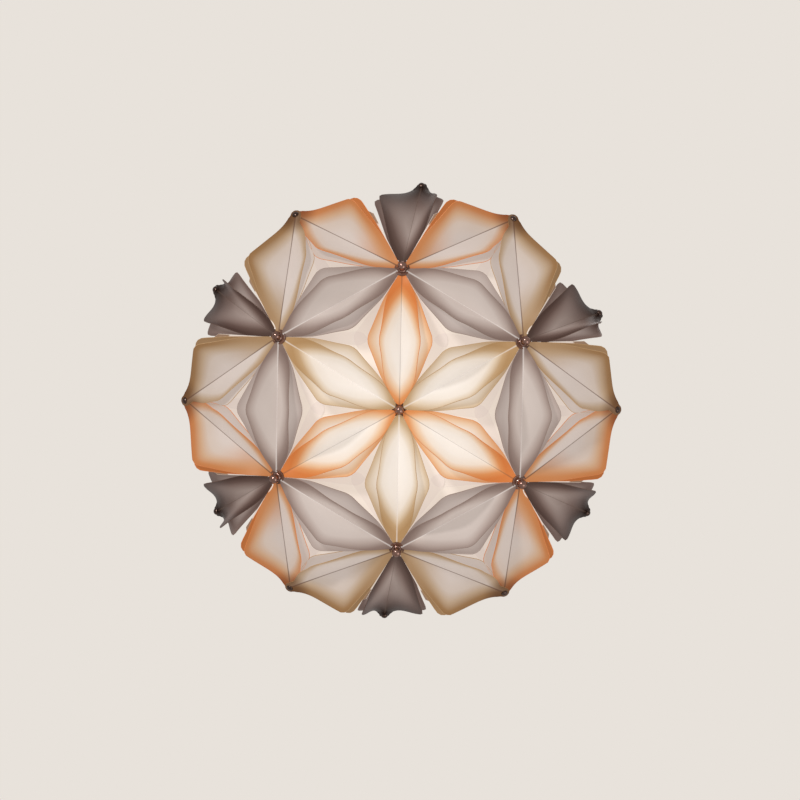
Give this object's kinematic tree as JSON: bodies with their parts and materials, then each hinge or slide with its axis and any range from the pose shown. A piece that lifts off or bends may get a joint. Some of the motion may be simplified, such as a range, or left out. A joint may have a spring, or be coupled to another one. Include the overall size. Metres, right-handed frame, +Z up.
{
  "type": "flush mount ceiling light",
  "caption": "Ceiling light with a dome of folded translucent petals pinned by ball studs, held by magnets to a ceiling plate that carries a screw-in lamp.",
  "frame": {"origin": "centre of the two ceiling slots, on the ceiling face of the plate", "axes": "+Z up into the ceiling, Y along the line of the two slots, the dome hangs towards -Z"},
  "size_m": [0.614, 0.6297, 0.2294],
  "materials": {
    "petal_orange": "translucent orange sheet, glossy",
    "petal_beige": "translucent beige sheet, glossy",
    "petal_grey": "translucent smoky grey sheet, glossy",
    "petal_smoke": "translucent dark smoke sheet, glossy",
    "petal_smoke_light": "translucent light smoke sheet, glossy",
    "petal_white": "translucent white sheet",
    "hub_brown": "dark reddish brown moulding",
    "smoked_metal": "polished dark nickel",
    "white_steel": "white powder coat",
    "zinc_steel": "zinc plated",
    "magnet_steel": "nickel plated pot magnet",
    "grommet_rubber": "black rubber",
    "holder_plastic": "moulded heat-proof plastic",
    "contact_brass": "plain brass",
    "cap_aluminium": "rolled screw cap",
    "opal_glass": "opal"
  },
  "bodies": {
    "base": {"ceiling_plate": "white_steel", "cable_grommet": "grommet_rubber", "terminal_block": "holder_plastic", "terminal_screws": "contact_brass", "earth_screw": "contact_brass", "lamp_bracket": "white_steel", "bracket_screws": "zinc_steel", "lampholder": "holder_plastic", "lampholder_nut": "zinc_steel", "screw_shell": "contact_brass", "centre_contact": "contact_brass"},
    "shade": {"centre_petal_1": "petal_orange", "centre_petal_2": "petal_beige", "centre_petal_3": "petal_orange", "centre_petal_4": "petal_beige", "centre_petal_5": "petal_orange", "centre_petal_6": "petal_beige", "ring_petal_1": "petal_grey", "ring_petal_2": "petal_grey", "ring_petal_3": "petal_grey", "ring_petal_4": "petal_grey", "ring_petal_5": "petal_grey", "ring_petal_6": "petal_grey", "between_petal_1": "petal_orange", "between_petal_2": "petal_beige", "between_petal_3": "petal_beige", "between_petal_4": "petal_orange", "between_petal_5": "petal_orange", "between_petal_6": "petal_beige", "between_petal_7": "petal_beige", "between_petal_8": "petal_orange", "between_petal_9": "petal_orange", "between_petal_10": "petal_beige", "between_petal_11": "petal_beige", "between_petal_12": "petal_orange", "rim_petal_1": "petal_smoke", "rim_petal_2": "petal_smoke", "rim_petal_3": "petal_smoke", "rim_petal_4": "petal_smoke", "rim_petal_5": "petal_smoke", "rim_petal_6": "petal_smoke", "orange_middle_leaves": "petal_orange", "beige_middle_leaves": "petal_beige", "grey_middle_leaves": "petal_grey", "rim_middle_leaves": "petal_smoke_light", "inner_white_leaves": "petal_white", "outer_white_leaves": "petal_white", "inner_hubs": "hub_brown", "outer_hubs": "hub_brown", "ball_studs": "smoked_metal", "shade_frame": "white_steel", "frame_screws": "zinc_steel", "catch_magnets": "magnet_steel"},
    "lamp": {"lamp_cap": "cap_aluminium", "lamp_bulb": "opal_glass"}
  },
  "joints": [
    {"name": "shade_slide", "type": "slide", "parent": "base", "child": "shade", "axis": [0, 0, -1], "range_m": [0, 0.15]},
    {"name": "lamp_turn", "type": "hinge", "parent": "base", "child": "lamp", "pos_m": [0, 0, -0.07], "axis": [0, 0, -1], "range_deg": [0, 1080]}
  ]
}
